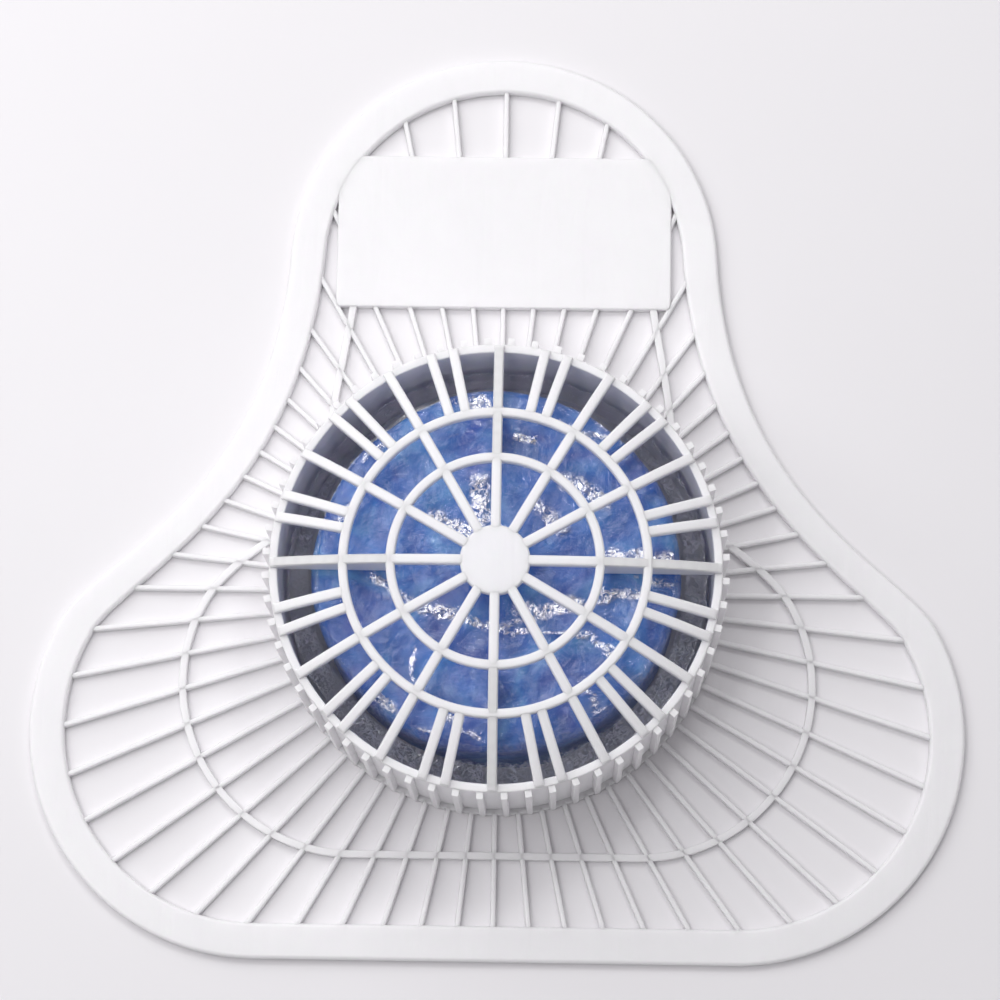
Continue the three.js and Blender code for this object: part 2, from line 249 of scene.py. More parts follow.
cloud_group = make_cloud_group()
grain_group = make_grain_group()
print("groups", [g.name for g in bpy.data.node_groups])

# %% [markdown]
# ## Finishes
# Each material starts from the same few steps: a Principled shader, the object's coordinates and a bump. The
# helper below sets those up and lets each finish add its own tones.

# %% Helpers for materials
def new_finish(name):
    material = bpy.data.materials.new(name)
    material.use_nodes = True
    nodes = material.node_tree.nodes
    shader = nodes["Principled BSDF"]
    place = nodes.new("ShaderNodeTexCoord").outputs["Object"]
    return material, shader, place

def add_group(material, group, place, values):
    node = material.node_tree.nodes.new("ShaderNodeGroup")
    node.node_tree = group
    material.node_tree.links.new(place, node.inputs["Place"])
    for label, value in values.items():
        node.inputs[label].default_value = value
    return node.outputs[0]

def stretched(material, place, scale, turn=0.0):
    mapping = material.node_tree.nodes.new("ShaderNodeMapping")
    mapping.inputs["Scale"].default_value = scale
    mapping.inputs["Rotation"].default_value = (0, 0, math.radians(turn))
    material.node_tree.links.new(place, mapping.inputs["Vector"])
    return mapping.outputs["Vector"]

def tones(material, tone, stops, target):
    ramp = material.node_tree.nodes.new("ShaderNodeValToRGB")
    elements = ramp.color_ramp.elements
    while len(elements) < len(stops):
        elements.new(0.5)
    for element, (position, colour) in zip(elements, stops):
        element.position = position
        element.color = (*colour, 1)
    material.node_tree.links.new(tone, ramp.inputs["Fac"])
    if target is not None:
        material.node_tree.links.new(ramp.outputs["Color"], target)
    return ramp.outputs["Color"]

def spread_to(material, tone, low, high, target):
    spread = material.node_tree.nodes.new("ShaderNodeMapRange")
    spread.inputs["To Min"].default_value = low
    spread.inputs["To Max"].default_value = high
    material.node_tree.links.new(tone, spread.inputs["Value"])
    material.node_tree.links.new(spread.outputs["Result"], target)

def add_bump(material, height, distance, strength, target, under=None):
    bump = material.node_tree.nodes.new("ShaderNodeBump")
    bump.inputs["Distance"].default_value = distance
    bump.inputs["Strength"].default_value = strength
    material.node_tree.links.new(height, bump.inputs["Height"])
    if under is not None:
        material.node_tree.links.new(under, bump.inputs["Normal"])
    if target is not None:
        material.node_tree.links.new(bump.outputs["Normal"], target)
    return bump.outputs["Normal"]

# %% [markdown]
# ### White moulded plastic
# It is satin polyethylene, a very pale lilac-white. Light goes some way into it, so subsurface scattering
# softens the thin ribs and lets a little light through the cage's wall. Faint clouds come from the colour,
# long faint streaks from how the plastic flowed in the mould, and a fine grain from the mould's own surface.

# %% White plastic
def make_white_plastic():
    material, shader, place = new_finish("white plastic")
    cloud = add_group(material, cloud_group, place, {"Scale": 55.0, "Swirl": 0.6, "Low": 0.3, "High": 0.7})
    tones(material, cloud, [(0.0, (0.855, 0.845, 0.864)), (1.0, (0.875, 0.867, 0.884))],
          shader.inputs["Base Color"])
    flow_place = stretched(material, place, (1.0, 0.12, 1.0), 20)
    flow_look = {"Scale": 160.0, "Swirl": 1.2, "Low": 0.2, "High": 0.8}
    flow = add_group(material, cloud_group, flow_place, flow_look)
    spread_to(material, flow, 0.34, 0.50, shader.inputs["Roughness"])
    grain_look = {"Grain Scale": 2600.0, "Pit Scale": 1100.0, "Pit Share": 0.3}
    grain = add_group(material, grain_group, place, grain_look)
    waves = add_bump(material, flow, 0.0004, 0.25, None)
    add_bump(material, grain, 0.00006, 0.35, shader.inputs["Normal"], waves)
    shader.inputs["Subsurface Weight"].default_value = 0.5
    shader.inputs["Subsurface Radius"].default_value = (1.0, 0.9, 1.0)
    shader.inputs["Subsurface Scale"].default_value = 0.003
    shader.inputs["IOR"].default_value = 1.5
    return material

white_plastic = make_white_plastic()

# %% [markdown]
# ### Blue cake
# The cake is pressed from waxy crystals. It is deep blue, with a matt grainy skin and small pits. Two clouds
# of different size make it uneven. The wide one varies the blue. The small one mixes in pale blue patches,
# which are painted reflections of light in the film over the cake.

# %% Blue cake
def make_blue_cake():
    material, shader, place = new_finish("blue cake")
    wide = add_group(material, cloud_group, place, {"Scale": 70.0, "Swirl": 1.4, "Low": 0.32, "High": 0.72})
    deep = tones(material, wide, [(0.0, (0.010, 0.072, 0.440)), (0.55, (0.030, 0.180, 0.600)),
                                  (1.0, (0.130, 0.390, 0.740))], None)
    small = add_group(material, cloud_group, place, {"Scale": 260.0, "Swirl": 0.8, "Low": 0.5, "High": 0.8})
    # Painted reflection: where the small cloud is high, pale blue is mixed into the cake's colour, for light
    # reflected in the film over it.
    painted_reflection_mix = material.node_tree.nodes.new("ShaderNodeMix")
    painted_reflection_mix.data_type = "RGBA"
    painted_reflection_mix.inputs["B"].default_value = (0.420, 0.560, 0.800, 1)
    share = material.node_tree.nodes.new("ShaderNodeMath")
    share.operation = "MULTIPLY"
    share.inputs[1].default_value = 0.3
    link = material.node_tree.links.new
    link(small, share.inputs[0])
    link(share.outputs[0], painted_reflection_mix.inputs["Factor"])
    link(deep, painted_reflection_mix.inputs["A"])
    link(painted_reflection_mix.outputs["Result"], shader.inputs["Base Color"])
    spread_to(material, wide, 0.45, 0.68, shader.inputs["Roughness"])
    grain_look = {"Grain Scale": 1500.0, "Pit Scale": 500.0, "Pit Share": 0.5}
    grain = add_group(material, grain_group, place, grain_look)
    waves = add_bump(material, small, 0.0006, 0.5, None)
    add_bump(material, grain, 0.0003, 0.5, shader.inputs["Normal"], waves)
    return material

blue_cake = make_blue_cake()

# %% [markdown]
# ### Clear film
# Film this thin doesn't bend light. It reflects a small share and lets the rest straight through, so the
# shader is a mirror-like one and its alpha is that share. The share comes from the Fresnel effect, from a
# faint haze, and from creases, where the film is doubled and scuffed. The film piece carries an attribute
# that says where it is creased. A limit keeps the Fresnel effect from making steep film into a mirror.

# %% Clear film
CREASE_SHARE = 0.95
HAZE_SHARE = 0.035
FILM_SHINE = 0.8
GRAZING_LIMIT = 0.12

def scaled_sum(material, first, factor, second):
    step = material.node_tree.nodes.new("ShaderNodeMath")
    step.operation = "MULTIPLY_ADD"
    step.inputs[1].default_value = factor
    step.inputs[2].default_value = 0
    material.node_tree.links.new(first, step.inputs[0])
    if second is not None:
        material.node_tree.links.new(second, step.inputs[2])
    return step.outputs[0]

def make_clear_film():
    material, shader, place = new_finish("clear film")
    nodes = material.node_tree.nodes
    link = material.node_tree.links.new
    shader.inputs["Base Color"].default_value = (0.97, 0.97, 1.0, 1)
    shader.inputs["Metallic"].default_value = 1.0
    crinkle = add_group(material, cloud_group, place, {"Scale": 420.0, "Swirl": 1.0, "Low": 0.3, "High": 0.7})
    spread_to(material, crinkle, 0.04, 0.12, shader.inputs["Roughness"])
    bent = add_bump(material, crinkle, 0.0005, 0.5, shader.inputs["Normal"])
    fresnel = nodes.new("ShaderNodeFresnel")
    fresnel.inputs["IOR"].default_value = 1.5
    link(bent, fresnel.inputs["Normal"])
    crease = nodes.new("ShaderNodeAttribute")
    crease.attribute_name = "crease"
    speckle_look = {"Scale": 900.0, "Swirl": 2.0, "Low": 0.42, "High": 0.60}
    speckle = add_group(material, cloud_group, place, speckle_look)
    broken = nodes.new("ShaderNodeMath")
    broken.operation = "MULTIPLY"
    link(crease.outputs["Fac"], broken.inputs[0])
    link(speckle, broken.inputs[1])
    haze = add_group(material, cloud_group, place, {"Scale": 110.0, "Swirl": 1.5, "Low": 0.4, "High": 0.75})
    hazy = scaled_sum(material, haze, HAZE_SHARE, None)
    creased = scaled_sum(material, broken.outputs[0], CREASE_SHARE, hazy)
    limited = nodes.new("ShaderNodeMath")
    limited.operation = "MINIMUM"
    limited.inputs[1].default_value = GRAZING_LIMIT
    link(fresnel.outputs["Fac"], limited.inputs[0])
    share = scaled_sum(material, limited.outputs[0], FILM_SHINE, creased)
    link(share, shader.inputs["Alpha"])
    return material

clear_film = make_clear_film()

# %% [markdown]
# ### Table top
# The photograph stands on a smooth pale table. Only its colour matters, with a very faint cloudiness.

# %% Table top
def make_table_top():
    material, shader, place = new_finish("pale table")
    cloud = add_group(material, cloud_group, place, {"Scale": 9.0, "Swirl": 0.5, "Low": 0.2, "High": 0.8})
    tones(material, cloud, [(0.0, (0.815, 0.805, 0.820)), (1.0, (0.830, 0.820, 0.835))],
          shader.inputs["Base Color"])
    shader.inputs["Roughness"].default_value = 0.75
    return material

table_top = make_table_top()
print("materials", [m.name for m in bpy.data.materials])

# %% [markdown]
# ## Helpers for shapes
# A moulded edge is never quite sharp, so each piece gets a small bevel that catches the light. A finished
# bmesh is turned into metres, put in its place and made an object that rides on the part's one body and
# stands for its CAD node.

# %% Finish a piece
def only(geometry, kind):
    return [item for item in geometry if isinstance(item, kind)]

def round_edges(bm, width, segments, wanted):
    bm.normal_update()
    limit = math.radians(SHARP_ANGLE)
    sharp = [e for e in bm.edges if len(e.link_faces) == 2 and e.calc_face_angle() > limit]
    edges = [e for e in sharp if wanted(e)]
    bmesh.ops.bevel(bm, geom=edges, offset=width, offset_type="OFFSET", segments=segments,
                    profile=0.5, affect="EDGES", material=-1, clamp_overlap=True)

def finish_piece(bm, name, material, node):
    bmesh.ops.remove_doubles(bm, verts=bm.verts, dist=0.0005)
    bmesh.ops.recalc_face_normals(bm, faces=bm.faces)
    bmesh.ops.transform(bm, matrix=TO_PART, verts=bm.verts)
    mesh = bpy.data.meshes.new(name)
    bm.to_mesh(mesh)
    bm.free()
    mesh.shade_smooth()
    mesh.set_sharp_from_angle(angle=math.radians(SMOOTH_ANGLE))
    mesh.materials.append(material)
    piece = bpy.data.objects.new(name, mesh)
    bpy.context.scene.collection.objects.link(piece)
    weights = piece.modifiers.new("flat faces stay flat", "WEIGHTED_NORMAL")
    weights.keep_sharp = True
    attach(piece, "root")
    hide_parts(node)
    print(name, "faces", len(mesh.polygons))
    return piece

# %% [markdown]
# ## Outline of the screen
# The outline is a round dome at the top, a hollow neck on each side and two round lobes at the bottom. Arcs
# give the round parts, and a cubic curve with two pulls gives each neck, as in the CAD part.

# %% Lines in the plane
def arc_points(centre, radius, start, end, steps):
    angles = [math.radians(start + (end - start) * i / steps) for i in range(steps + 1)]
    return [Vector((centre[0] + radius * math.cos(a), centre[1] + radius * math.sin(a))) for a in angles]

def heading(angle):
    return Vector((math.cos(math.radians(angle)), math.sin(math.radians(angle))))

def ease_between(start, start_angle, start_pull, end, end_angle, end_pull, steps):
    first = start + heading(start_angle) * start_pull
    last = end + heading(end_angle) * end_pull
    points = []
    for i in range(steps + 1):
        t = i / steps
        s = 1 - t
        points.append(start * s ** 3 + first * 3 * s * s * t + last * 3 * s * t * t + end * t ** 3)
    return points

def mirrored(points):
    return [Vector((-p.x, p.y)) for p in reversed(points)]

def half_outline():
    lobe_centre = (HALF_WIDTH - LOBE_RADIUS, LOBE_RADIUS - BOTTOM_REACH)
    dome_centre = (0, TOP_REACH - DOME_RADIUS)
    lobe = arc_points(lobe_centre, LOBE_RADIUS, -90, LOBE_END_ANGLE, LOBE_STEPS)
    dome = arc_points(dome_centre, DOME_RADIUS, DOME_END_ANGLE, 90, DOME_STEPS)
    neck = ease_between(lobe[-1], LOBE_END_ANGLE + 90, NECK_PULL_AT_LOBE,
                        dome[0], DOME_END_ANGLE - 90, NECK_PULL_AT_DOME, NECK_STEPS)
    rows = [(p, RIM_WIDTH) for p in lobe]
    for i, p in enumerate(neck[1:-1], start=1):
        share = math.sin(math.pi * i / NECK_STEPS)
        rows.append((p, RIM_WIDTH + (RIM_WIDTH_AT_NECK - RIM_WIDTH) * share))
    return rows + [(p, RIM_WIDTH) for p in dome]

def outline(share):
    rows = half_outline()
    other = [(Vector((-p.x, p.y)), w) for p, w in reversed(rows[:-1])]
    rows = rows + other
    count = len(rows)
    line = []
    for i, (point, width) in enumerate(rows):
        along = (rows[(i + 1) % count][0] - rows[i - 1][0]).normalized()
        inwards = Vector((-along.y, along.x))
        line.append(point + inwards * width * share)
    return line

# %% [markdown]
# ## Bands and strips
# The rim and the contour rib are both a band between two lines. The two lines are bridged to a flat face
# strip, the strip is extruded up, and its edges are rounded.

# %% Make a band
def make_band(left, right, low, high, closed):
    bm = bmesh.new()
    edges = []
    for line in (left, right):
        verts = [bm.verts.new((p.x, p.y, low)) for p in line]
        edges += [bm.edges.new(pair) for pair in zip(verts, verts[1:])]
        if closed:
            edges.append(bm.edges.new((verts[-1], verts[0])))
    bmesh.ops.bridge_loops(bm, edges=edges)
    raise_faces(bm, list(bm.faces), high - low)
    return bm

def raise_faces(bm, faces, height):
    grown = bmesh.ops.extrude_face_region(bm, geom=faces)["geom"]
    top = only(grown, bmesh.types.BMVert)
    bmesh.ops.translate(bm, verts=top, vec=(0, 0, height))
    return top

def is_top(edge, height, slack=0.05):
    return all(abs(v.co.z - height) < slack for v in edge.verts)

# %% Rim
rim_mesh = make_band(outline(0), outline(1), 0, RIM_THICKNESS, closed=True)
round_edges(rim_mesh, RIM_EDGE, 4, lambda e: is_top(e, RIM_THICKNESS))
round_edges(rim_mesh, RIM_FOOT_EDGE, 2, lambda e: is_top(e, 0))
finish_piece(rim_mesh, "rim", white_plastic, "screen")

# %% [markdown]
# ## Ribs
# Sixty ribs point at the cage's axis. Each one starts in the base ring and ends under the rim, so its length
# depends on where its line meets the middle of the rim. A rib is a little narrower at its top, because it has
# to leave the mould.

# %% Length of a rib
NEARLY_PARALLEL = 1e-9

def reach_at(angle, line):
    way = heading(angle)
    best = 0
    for a, b in zip(line, line[1:] + line[:1]):
        side = b - a
        cross = way.x * side.y - way.y * side.x
        if abs(cross) < NEARLY_PARALLEL:
            continue
        along = (a.x * side.y - a.y * side.x) / cross
        share = (a.x * way.y - a.y * way.x) / cross
        if along > 0 and 0 <= share <= 1:
            best = max(best, along)
    return best

# %% Make the ribs
RIB_TAPER = 0.82

def add_rib(bm, angle, start, end):
    grid = bmesh.ops.create_grid(bm, x_segments=1, y_segments=1, size=1)["verts"]
    bmesh.ops.scale(bm, verts=grid, vec=((end - start) / 2, RIB_WIDTH / 2, 1))
    bmesh.ops.translate(bm, verts=grid, vec=((start + end) / 2, 0, 0))
    top = raise_faces(bm, list(grid[0].link_faces), RIB_HEIGHT)
    bmesh.ops.scale(bm, verts=top, vec=(1, RIB_TAPER, 1))
    turn = Matrix.Rotation(math.radians(angle), 3, "Z")
    bmesh.ops.rotate(bm, verts=grid + top, cent=(0, 0, 0), matrix=turn)

def make_ribs():
    bm = bmesh.new()
    middle = outline(0.5)
    for i in range(RIB_COUNT):
        angle = 90 + 360 * i / RIB_COUNT
        add_rib(bm, angle, WALL_OUTER_RADIUS + 0.2, reach_at(angle, middle))
    round_edges(bm, RIB_EDGE, 2, lambda e: is_top(e, RIB_HEIGHT))
    return bm

finish_piece(make_ribs(), "ribs", white_plastic, "screen")

# %% [markdown]
# ## Contour rib
# A thin rib runs round between the cage and the rim. Its lower part is a wide loop, and its upper part runs
# from the cage to the plate on each side.

# %% Contour rib
CONTOUR_WIDTH = 1.45
CONTOUR_BOTTOM_REACH = 51.5
CONTOUR_HALF_WIDTH = 61.2
CONTOUR_LOBE_RADIUS = 33.5
CONTOUR_LOBE_END_ANGLE = 25
CONTOUR_LOWER_MEETING_ANGLE = 18
CONTOUR_LOWER_ARRIVAL_ANGLE = -36
CONTOUR_UPPER_MEETING_ANGLE = 37
CONTOUR_UPPER_LEAVING_ANGLE = 90
CONTOUR_PLATE_ARRIVAL_ANGLE = -82
CONTOUR_TOP_HALF_WIDTH = 29.7

def contour_lines():
    centre = (CONTOUR_HALF_WIDTH - CONTOUR_LOBE_RADIUS, CONTOUR_LOBE_RADIUS - CONTOUR_BOTTOM_REACH)
    lobe = arc_points(centre, CONTOUR_LOBE_RADIUS, -90, CONTOUR_LOBE_END_ANGLE, LOBE_STEPS)
    lower_end = heading(CONTOUR_LOWER_MEETING_ANGLE) * WALL_OUTER_RADIUS
    pull = (lobe[-1] - lower_end).length / 3
    shoulder = ease_between(lobe[-1], CONTOUR_LOBE_END_ANGLE + 90, pull,
                            lower_end, CONTOUR_LOWER_ARRIVAL_ANGLE, pull, 12)
    lower_half = lobe + shoulder[1:]
    upper_end = heading(CONTOUR_UPPER_MEETING_ANGLE) * WALL_OUTER_RADIUS
    plate_end = Vector((CONTOUR_TOP_HALF_WIDTH, PLATE_BOTTOM + ROOT))
    pull = (plate_end - upper_end).length / 3
    upper = ease_between(upper_end, CONTOUR_UPPER_LEAVING_ANGLE, pull,
                         plate_end, CONTOUR_PLATE_ARRIVAL_ANGLE, pull, 10)
    return [mirrored(lower_half) + lower_half, upper, mirrored(upper)]

def beside(line, offset):
    moved = []
    for i, point in enumerate(line):
        along = (line[min(i + 1, len(line) - 1)] - line[max(i - 1, 0)]).normalized()
        moved.append(point + Vector((-along.y, along.x)) * offset)
    return moved

def make_contour():
    whole = bmesh.new()
    for line in contour_lines():
        half = CONTOUR_WIDTH / 2
        bm = make_band(beside(line, half), beside(line, -half), 0, RIB_HEIGHT, closed=False)
        round_edges(bm, RIB_EDGE, 2, lambda e: is_top(e, RIB_HEIGHT))
        part = bpy.data.meshes.new("strip")
        bm.to_mesh(part)
        bm.free()
        whole.from_mesh(part)
        bpy.data.meshes.remove(part)
    return whole

finish_piece(make_contour(), "contour_rib", white_plastic, "screen")

# %% [markdown]
# ## Label plate
# The plate is flat and bare. It lies flush with the rim, so its upper corners run into the rim and vanish.

# %% Label plate
def make_plate():
    bm = bmesh.new()
    grid = bmesh.ops.create_grid(bm, x_segments=1, y_segments=1, size=1)["verts"]
    bmesh.ops.scale(bm, verts=grid, vec=(PLATE_WIDTH / 2, (PLATE_TOP - PLATE_BOTTOM) / 2, 1))
    bmesh.ops.translate(bm, verts=grid, vec=(0, (PLATE_TOP + PLATE_BOTTOM) / 2, 0))
    raise_faces(bm, list(bm.faces), PLATE_THICKNESS)
    round_edges(bm, PLATE_CORNER, 4, lambda e: abs(e.verts[0].co.z - e.verts[1].co.z) > 1)
    round_edges(bm, PLATE_EDGE, 3, lambda e: is_top(e, PLATE_THICKNESS))
    return bm

finish_piece(make_plate(), "label_plate", white_plastic, "screen")

# %% [markdown]
# ## Cage wall
# The wall is a tube, and its base ring joins it to the ribs. Both are turned: a small section is drawn beside
# the axis and spun round it. The sixty upright bars on the outside are one bar, copied round by a spin.

# %% Turn a section round the axis
ROUND_STEPS = 180

def turned(bm, section, steps=ROUND_STEPS, closed=True):
    verts = [bm.verts.new((radius, 0, height)) for radius, height in section]
    edges = [bm.edges.new(pair) for pair in zip(verts, verts[1:])]
    if closed:
        edges.append(bm.edges.new((verts[-1], verts[0])))
    bmesh.ops.spin(bm, geom=verts + edges, cent=(0, 0, 0), axis=(0, 0, 1), dvec=(0, 0, 0),
                   angle=2 * math.pi, steps=steps, use_merge=True, use_duplicate=False)
    bmesh.ops.remove_doubles(bm, verts=bm.verts, dist=0.001)

def box_section(inner, outer, low, high):
    return [(inner, low), (outer, low), (outer, high), (inner, high)]

def copied_round(bm, count, start):
    geometry = list(bm.verts) + list(bm.edges) + list(bm.faces)
    turn = Matrix.Rotation(math.radians(start), 3, "Z")
    bmesh.ops.rotate(bm, verts=bm.verts, cent=(0, 0, 0), matrix=turn)
    step = 2 * math.pi / count
    bmesh.ops.spin(bm, geom=geometry, cent=(0, 0, 0), axis=(0, 0, 1), dvec=(0, 0, 0),
                   angle=step * (count - 1), steps=count - 1, use_duplicate=True)

def make_box(bm, low, high):
    verts = bmesh.ops.create_cube(bm, size=1)["verts"]
    size = Vector(high) - Vector(low)
    bmesh.ops.scale(bm, verts=verts, vec=size)
    bmesh.ops.translate(bm, verts=verts, vec=(Vector(high) + Vector(low)) / 2)

# %% Wall, base ring and bars
wall_mesh = bmesh.new()
turned(wall_mesh, box_section(WALL_INNER_RADIUS, WALL_OUTER_RADIUS, 0, WALL_HEIGHT))
round_edges(wall_mesh, WALL_EDGE, 3, lambda e: is_top(e, WALL_HEIGHT))
finish_piece(wall_mesh, "wall", white_plastic, "cage_wall")

base_mesh = bmesh.new()
base_outer = WALL_OUTER_RADIUS + BASE_RING_WIDTH
turned(base_mesh, box_section(WALL_OUTER_RADIUS - ROOT, base_outer, 0, RIB_HEIGHT))
round_edges(base_mesh, WALL_EDGE, 3, lambda e: is_top(e, RIB_HEIGHT))
finish_piece(base_mesh, "base_ring", white_plastic, "cage_wall")

bar_mesh = bmesh.new()
bar_outer = WALL_OUTER_RADIUS + BAR_DEPTH
make_box(bar_mesh, (WALL_OUTER_RADIUS - ROOT, -BAR_WIDTH / 2, 0), (bar_outer, BAR_WIDTH / 2, BAR_TOP))
round_edges(bar_mesh, BAR_EDGE, 2, lambda e: min(v.co.x for v in e.verts) > WALL_OUTER_RADIUS)
copied_round(bar_mesh, RIB_COUNT, 90 + 180 / RIB_COUNT)
finish_piece(bar_mesh, "wall_bars", white_plastic, "cage_wall")

# %% [markdown]
# ## Domed grille
# The top of the cage rises towards its hub. Spokes and stubs are flat strips that are bent onto the dome:
# every point is lifted to the dome's height at its distance from the axis.

# %% Height of the dome
def dome_height(radius):
    share = radius / WALL_OUTER_RADIUS
    return WALL_HEIGHT + DOME_RISE - (DOME_RISE - DOME_EDGE_STEP) * share ** DOME_POWER

def domed_strip(start, end, width, depth, edge, flat_low=None):
    bm = bmesh.new()
    grid = bmesh.ops.create_grid(bm, x_segments=14, y_segments=1, size=1)["verts"]
    bmesh.ops.scale(bm, verts=grid, vec=((end - start) / 2, width / 2, 1))
    bmesh.ops.translate(bm, verts=grid, vec=((start + end) / 2, 0, -depth))
    top = raise_faces(bm, list(bm.faces), depth)
    round_edges(bm, edge, 3, lambda e: is_top(e, 0))
    for vert in bm.verts:
        if flat_low is not None and vert.co.z < -depth / 2:
            vert.co.z = flat_low
        else:
            vert.co.z += dome_height(vert.co.xy.length)
    return bm

# %% Spokes, stubs and webs
spoke_end = WALL_OUTER_RADIUS - SPOKE_SETBACK

spoke_mesh = domed_strip(HUB_RADIUS - ROOT, spoke_end, SPOKE_WIDTH, GRILLE_THICKNESS, GRILLE_EDGE)
copied_round(spoke_mesh, SPOKE_COUNT, 90)
finish_piece(spoke_mesh, "spokes", white_plastic, "cage_top")

def make_stubs(name, offset):
    bm = domed_strip(OUTER_RING_RADIUS, spoke_end, SPOKE_WIDTH, GRILLE_THICKNESS, GRILLE_EDGE)
    copied_round(bm, SPOKE_COUNT, 90 + offset)
    finish_piece(bm, name, white_plastic, "cage_top")

make_stubs("left_stubs", STUB_OFFSET_ANGLE)
make_stubs("right_stubs", -STUB_OFFSET_ANGLE)

web_end = WALL_INNER_RADIUS + ROOT
web_depth = GRILLE_THICKNESS / 2
web_mesh = domed_strip(INNER_RING_RADIUS, web_end, WEB_WIDTH, web_depth, WEB_EDGE, flat_low=WEB_LOW)
copied_round(web_mesh, WEB_COUNT, 0)
finish_piece(web_mesh, "webs", white_plastic, "cage_top")

# %% Rings and hub
def make_grille_ring(name, radius):
    bm = bmesh.new()
    top = dome_height(radius)
    half = GRILLE_RING_WIDTH / 2
    turned(bm, box_section(radius - half, radius + half, top - GRILLE_THICKNESS, top))
    round_edges(bm, GRILLE_EDGE, 3, lambda e: is_top(e, top))
    finish_piece(bm, name, white_plastic, "cage_top")

make_grille_ring("inner_ring", INNER_RING_RADIUS)
make_grille_ring("outer_ring", OUTER_RING_RADIUS)

hub_mesh = bmesh.new()
hub_top = dome_height(0)
turned(hub_mesh, [(0, hub_top - GRILLE_THICKNESS), (HUB_RADIUS, hub_top - GRILLE_THICKNESS),
                  (HUB_RADIUS, hub_top - HUB_CROWN), (0, hub_top)], HUB_STEPS, closed=False)
round_edges(hub_mesh, HUB_EDGE, 3, lambda e: is_top(e, hub_top - HUB_CROWN))
finish_piece(hub_mesh, "hub", white_plastic, "cage_top")

# %% [markdown]
# ## Deodorizer cake
# The cake is turned like a coin with a soft edge, from fine rings, and then every point is pushed in a little
# by smooth noise, so that its rim wanders and its top is not quite flat.

# %% Cake
CAKE_EDGE = 2.4
CAKE_RINGS = 24
CAKE_STEPS = 144
SIDE_STEP = 4
SIDE_WANDER = 0.45
TOP_DIP = 0.25

def cake_section():
    flat = BLOCK_RADIUS - CAKE_EDGE
    top_line = [(flat * i / CAKE_RINGS, BLOCK_HEIGHT) for i in range(CAKE_RINGS)]
    head = arc_points((flat, BLOCK_HEIGHT - CAKE_EDGE), CAKE_EDGE, 0, 90, 6)
    side = [(BLOCK_RADIUS, BLOCK_HEIGHT - CAKE_EDGE - SIDE_STEP * i) for i in range(1, 6)]
    foot = arc_points((flat, CAKE_EDGE), CAKE_EDGE, -90, 0, 4)
    corners = [[(p.x, p.y) for p in reversed(arc)] for arc in (head, foot)]
    return top_line + corners[0] + side + corners[1] + [(0, 0)]

def make_cake():
    bm = bmesh.new()
    turned(bm, cake_section(), CAKE_STEPS, closed=False)
    for vert in bm.verts:
        place = vert.co.copy()
        outward = Vector((place.x, place.y, 0))
        share = outward.length / BLOCK_RADIUS
        wander = noise.noise(place * 0.06) + 0.5 * noise.noise(place * 0.19)
        vert.co -= outward.normalized() * max(0.0, SIDE_WANDER + 0.6 * wander) * share ** 3
        if place.z > 1:
            dip = TOP_DIP + 0.45 * noise.noise(place * 0.11) + 0.15 * noise.noise(place * 0.4)
            vert.co.z -= max(0.0, dip) * min(1.0, place.z / BLOCK_HEIGHT)
    return bm

finish_piece(make_cake(), "cake", blue_cake, "deodorizer_block")

# %% [markdown]
# ## Film
# The film is one thin sheet over the cake. It starts as fine rings spun from a section that runs over the
# top, down the side and out to the wall. Noise with sharp crests gives it crinkles. A list of creases says
# where it is folded: each is a line, with a half width and a strength. Near a crease the sheet stands higher,
# and the attribute for the material grows. A Solidify modifier gives the sheet its thickness.

# %% Creases of the film
CREASES = [
    ([(-19.9, -3.9), (-15.5, -6.7), (-10.3, -8.0), (0.8, -11.0),
      (11.9, -8.0), (19.4, -5.8), (26.8, -4.3)], 0.8, 0.7),
    ([(-15.5, -7.2), (-11.0, -8.2), (-6.6, -8.4)], 1.3, 1.0),
    ([(4.2, -7.6), (9.0, -7.8), (15.6, -6.2)], 1.5, 1.0),
    ([(19.4, -4.9), (26.8, -4.3)], 1.2, 0.9),
    ([(-5.8, -10.2), (3.0, -12.4), (13.0, -11.5)], 0.4, 0.8),
    ([(15.0, -12.3), (18.5, -13.0), (22.0, -15.4)], 0.9, 0.7),
    ([(-5.6, 34.0), (-4.2, 31.0), (-3.2, 33.0), (-1.8, 30.6)], 0.7, 1.0),
    ([(-8.8, 33.5), (-8.2, 31.8), (-6.9, 32.6)], 0.6, 0.8),
    ([(-3.4, 16.5), (-3.2, 9.4)], 2.2, 0.8),
    ([(-12.3, 9.6), (-9.0, 8.4), (-5.6, 7.2)], 1.7, 0.8),
    ([(12.6, 16.8), (16.0, 16.0), (20.0, 13.2)], 2.0, 0.7),
    ([(6.6, 12.6), (9.5, 10.6), (12.6, 8.0)], 1.6, 0.8),
    ([(20.8, 3.2), (34.0, 2.8)], 0.9, 0.8),
    ([(3.2, 25.4), (6.6, 24.6)], 0.9, 1.0),
    ([(11.6, 27.9), (21.6, 25.3)], 0.4, 0.9),
    ([(20.2, 28.0), (24.0, 24.6)], 0.8, 0.9),
    ([(-23.2, -1.2), (-20.4, -3.2)], 1.1, 1.0),
    ([(-22.2, -24.4), (-19.2, -27.0)], 1.4, 1.0),
    ([(-15.0, -15.4), (-15.1, -21.0)], 0.35, 0.9),
    ([(16.8, -22.5), (18.6, -23.8), (18.8, -26.2)], 0.5, 0.8),
    ([(26.0, -1.2), (34.2, -3.0)], 0.6, 0.6),
    ([(19.0, -27.2), (22.6, -25.6)], 0.7, 0.9),
    ([(-14.0, -30.5), (-11.0, -31.8)], 0.8, 0.9),
    ([(-9.2, -27.0), (-6.4, -30.0), (-3.0, -32.0)], 0.6, 0.8),
    ([(-30.5, 8.5), (-27.0, 12.5), (-25.0, 14.0)], 0.7, 0.5),
    ([(-25.5, 20.5), (-21.5, 24.0)], 0.6, 0.6),
]

